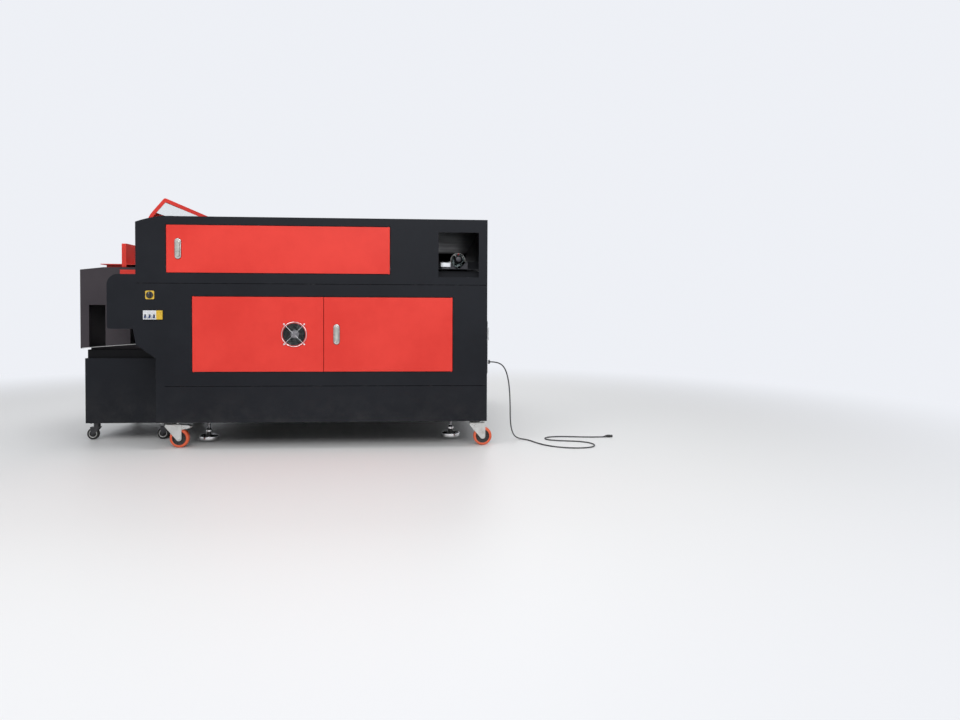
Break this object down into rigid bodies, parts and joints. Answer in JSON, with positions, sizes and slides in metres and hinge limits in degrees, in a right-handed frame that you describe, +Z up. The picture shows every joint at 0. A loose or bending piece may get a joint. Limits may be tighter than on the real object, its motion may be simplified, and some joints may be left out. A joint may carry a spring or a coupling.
{
  "type": "carbon dioxide laser cutting machine",
  "caption": "Large enclosed laser cutter with conveyor bed, tilting window lid, side doors, casters with levelling feet, roll-up control console and a loose power cable.",
  "frame": {"origin": "floor point under the middle of the machine's and console's footprint, cable apart", "axes": "+X from the console to the machine's rear, +Y from the near side with the doors to the far side, +Z up"},
  "size_m": [2.9773, 2.4001, 1.3405],
  "materials": {
    "black_powder_coat": "fine textured powder coat",
    "red_powder_coat": "smooth satin powder coat",
    "grey_paint": "satin",
    "belt_mesh": "woven, matte",
    "roller_steel": "turned",
    "rail_steel": "ground",
    "anodised_aluminium": "clear anodised",
    "tube_glass": "clear",
    "white_plastic": "satin moulded",
    "blue_plastic": "moulded",
    "yellow_plastic": "moulded",
    "black_plastic": "moulded",
    "red_plastic": "moulded",
    "white_plate": "satin",
    "zinc_plate": "zinc plated",
    "chrome_plate": "polished",
    "satin_nickel": "satin",
    "clear_acrylic": "clear",
    "orange_wheel": "moulded polyurethane",
    "black_steel": "black plated",
    "black_wheel": "moulded",
    "cable_sheath": "matte sheath"
  },
  "bodies": {
    "machine": {"base_frame": "black_powder_coat", "near_side_panel": "black_powder_coat", "far_side_panel": "black_powder_coat", "rear_panel": "black_powder_coat", "top_cover": "black_powder_coat", "front_cover": "black_powder_coat", "tube_shelf": "black_powder_coat", "bed_frame": "grey_paint", "conveyor_belt": "belt_mesh", "gantry_rails": "rail_steel", "laser_tube": "tube_glass", "tube_mounts": "anodised_aluminium", "power_supply": "grey_paint", "breaker_block": "white_plastic", "switch_plate": "yellow_plastic", "socket_plate": "white_plate", "caster_plates": "zinc_plate", "leveling_feet": "chrome_plate", "cable": "cable_sheath", "cable_plug": "black_plastic"},
    "lid": {"lid_shell": "red_powder_coat", "lid_window": "clear_acrylic"},
    "upper_door": {"upper_door": "red_powder_coat", "upper_lock": "chrome_plate"},
    "upper_handle": {"upper_lock_handle": "satin_nickel"},
    "left_door": {"left_door": "red_powder_coat", "fan_frame": "black_plastic", "fan_guard": "chrome_plate"},
    "fan_rotor": {"fan_rotor": "black_plastic"},
    "right_door": {"right_door": "red_powder_coat", "right_lock": "chrome_plate"},
    "right_handle": {"right_lock_handle": "satin_nickel"},
    "gantry_beam": {"gantry_beam": "anodised_aluminium"},
    "laser_head": {"laser_head": "anodised_aluminium"},
    "front_roller": {"front_roller": "roller_steel"},
    "rear_roller": {"rear_roller": "roller_steel"},
    "breaker_levers": {"breaker_levers": "blue_plastic"},
    "switch_knob": {"switch_knob": "black_plastic"},
    "console": {"console_cabinet": "black_powder_coat", "console_shelf": "black_powder_coat", "console_hood": "black_powder_coat", "control_box": "red_powder_coat", "control_panel": "black_plastic"},
    "stop_button": {"stop_button": "red_plastic"},
    "caster_1": {"caster_fork_1": "zinc_plate"},
    "wheel_1": {"caster_wheel_1": "orange_wheel"},
    "caster_2": {"caster_fork_2": "zinc_plate"},
    "wheel_2": {"caster_wheel_2": "orange_wheel"},
    "caster_3": {"caster_fork_3": "zinc_plate"},
    "wheel_3": {"caster_wheel_3": "orange_wheel"},
    "caster_4": {"caster_fork_4": "zinc_plate"},
    "wheel_4": {"caster_wheel_4": "orange_wheel"},
    "console_caster_1": {"console_fork_1": "black_steel"},
    "console_tyre_1": {"console_wheel_1": "black_wheel"},
    "console_caster_2": {"console_fork_2": "black_steel"},
    "console_tyre_2": {"console_wheel_2": "black_wheel"},
    "console_caster_3": {"console_fork_3": "black_steel"},
    "console_tyre_3": {"console_wheel_3": "black_wheel"},
    "console_caster_4": {"console_fork_4": "black_steel"},
    "console_tyre_4": {"console_wheel_4": "black_wheel"}
  },
  "joints": [
    {"name": "lid_hinge", "type": "hinge", "parent": "machine", "child": "lid", "pos_m": [-0.3545, 0.0075, 1.215], "axis": [0, 1, 0], "range_deg": [-24.5, 57]},
    {"name": "upper_door_hinge", "type": "hinge", "parent": "machine", "child": "upper_door", "pos_m": [0.5765, -1.1535, 1.0425], "axis": [0, 0, 1], "range_deg": [0, 110]},
    {"name": "upper_handle_turn", "type": "hinge", "parent": "upper_door", "child": "upper_handle", "pos_m": [-0.5045, -1.1535, 1.0425], "axis": [0, 1, 0], "range_deg": [0, 90]},
    {"name": "left_door_hinge", "type": "hinge", "parent": "machine", "child": "left_door", "pos_m": [-0.4295, -1.1535, 0.601], "axis": [0, 0, -1], "range_deg": [0, 110]},
    {"name": "fan_spin", "type": "hinge", "parent": "left_door", "child": "fan_rotor", "pos_m": [0.0855, -1.1535, 0.601], "axis": [0, 1, 0], "continuous": true},
    {"name": "right_door_hinge", "type": "hinge", "parent": "machine", "child": "right_door", "pos_m": [0.9075, -1.1535, 0.601], "axis": [0, 0, 1], "range_deg": [0, 110]},
    {"name": "right_handle_turn", "type": "hinge", "parent": "right_door", "child": "right_handle", "pos_m": [0.3045, -1.1535, 0.601], "axis": [0, 1, 0], "range_deg": [0, 90]},
    {"name": "beam_slide", "type": "slide", "parent": "machine", "child": "gantry_beam", "axis": [1, 0, 0], "range_m": [-0.465, 0.755]},
    {"name": "head_slide", "type": "slide", "parent": "gantry_beam", "child": "laser_head", "axis": [0, 1, 0], "range_m": [-0.53, 1.13]},
    {"name": "front_roller_spin", "type": "hinge", "parent": "machine", "child": "front_roller", "pos_m": [-0.8075, 0.0075, 0.854], "axis": [0, 1, 0], "continuous": true},
    {"name": "rear_roller_spin", "type": "hinge", "parent": "machine", "child": "rear_roller", "pos_m": [1.0015, 0.0075, 0.854], "axis": [0, 1, 0], "continuous": true},
    {"name": "breaker_toggle", "type": "hinge", "parent": "machine", "child": "breaker_levers", "pos_m": [-0.6455, -1.1585, 0.693], "axis": [-1, 0, 0], "range_deg": [0, 56]},
    {"name": "main_switch_turn", "type": "hinge", "parent": "machine", "child": "switch_knob", "pos_m": [-0.6465, -1.1575, 0.803], "axis": [0, 1, 0], "range_deg": [0, 90]},
    {"name": "console_roll", "type": "slide", "parent": "machine", "child": "console", "axis": [-1, 0, 0], "range_m": [0, 0.6]},
    {"name": "stop_button_push", "type": "slide", "parent": "console", "child": "stop_button", "axis": [1, 0, 0], "range_m": [0, 0.006]},
    {"name": "caster_swivel_1", "type": "hinge", "parent": "machine", "child": "caster_1", "pos_m": [-0.5665, -1.0825, 0.135], "axis": [0, 0, 1], "continuous": true},
    {"name": "wheel_spin_1", "type": "hinge", "parent": "caster_1", "child": "wheel_1", "pos_m": [-0.5245, -1.0825, 0.05], "axis": [0, 1, 0], "continuous": true},
    {"name": "caster_swivel_2", "type": "hinge", "parent": "machine", "child": "caster_2", "pos_m": [1.0375, -1.0825, 0.135], "axis": [0, 0, 1], "continuous": true},
    {"name": "wheel_spin_2", "type": "hinge", "parent": "caster_2", "child": "wheel_2", "pos_m": [1.0795, -1.0825, 0.05], "axis": [0, 1, 0], "continuous": true},
    {"name": "caster_swivel_3", "type": "hinge", "parent": "machine", "child": "caster_3", "pos_m": [-0.5665, 1.0975, 0.135], "axis": [0, 0, 1], "continuous": true},
    {"name": "wheel_spin_3", "type": "hinge", "parent": "caster_3", "child": "wheel_3", "pos_m": [-0.5245, 1.0975, 0.05], "axis": [0, 1, 0], "continuous": true},
    {"name": "caster_swivel_4", "type": "hinge", "parent": "machine", "child": "caster_4", "pos_m": [1.0375, 1.0975, 0.135], "axis": [0, 0, 1], "continuous": true},
    {"name": "wheel_spin_4", "type": "hinge", "parent": "caster_4", "child": "wheel_4", "pos_m": [1.0795, 1.0975, 0.05], "axis": [0, 1, 0], "continuous": true},
    {"name": "console_swivel_1", "type": "hinge", "parent": "console", "child": "console_caster_1", "pos_m": [-1.0635, -0.8155, 0.094], "axis": [0, 0, 1], "continuous": true},
    {"name": "console_wheel_spin_1", "type": "hinge", "parent": "console_caster_1", "child": "console_tyre_1", "pos_m": [-1.0835, -0.8155, 0.0325], "axis": [0, 1, 0], "continuous": true},
    {"name": "console_swivel_2", "type": "hinge", "parent": "console", "child": "console_caster_2", "pos_m": [-0.6825, -0.8155, 0.094], "axis": [0, 0, 1], "continuous": true},
    {"name": "console_wheel_spin_2", "type": "hinge", "parent": "console_caster_2", "child": "console_tyre_2", "pos_m": [-0.7025, -0.8155, 0.0325], "axis": [0, 1, 0], "continuous": true},
    {"name": "console_swivel_3", "type": "hinge", "parent": "console", "child": "console_caster_3", "pos_m": [-1.0635, -0.2055, 0.094], "axis": [0, 0, 1], "continuous": true},
    {"name": "console_wheel_spin_3", "type": "hinge", "parent": "console_caster_3", "child": "console_tyre_3", "pos_m": [-1.0835, -0.2055, 0.0325], "axis": [0, 1, 0], "continuous": true},
    {"name": "console_swivel_4", "type": "hinge", "parent": "console", "child": "console_caster_4", "pos_m": [-0.6825, -0.2055, 0.094], "axis": [0, 0, 1], "continuous": true},
    {"name": "console_wheel_spin_4", "type": "hinge", "parent": "console_caster_4", "child": "console_tyre_4", "pos_m": [-0.7025, -0.2055, 0.0325], "axis": [0, 1, 0], "continuous": true}
  ],
  "couplings": [
    {"joint": "rear_roller_spin", "follows": "front_roller_spin", "ratio": 1}
  ]
}
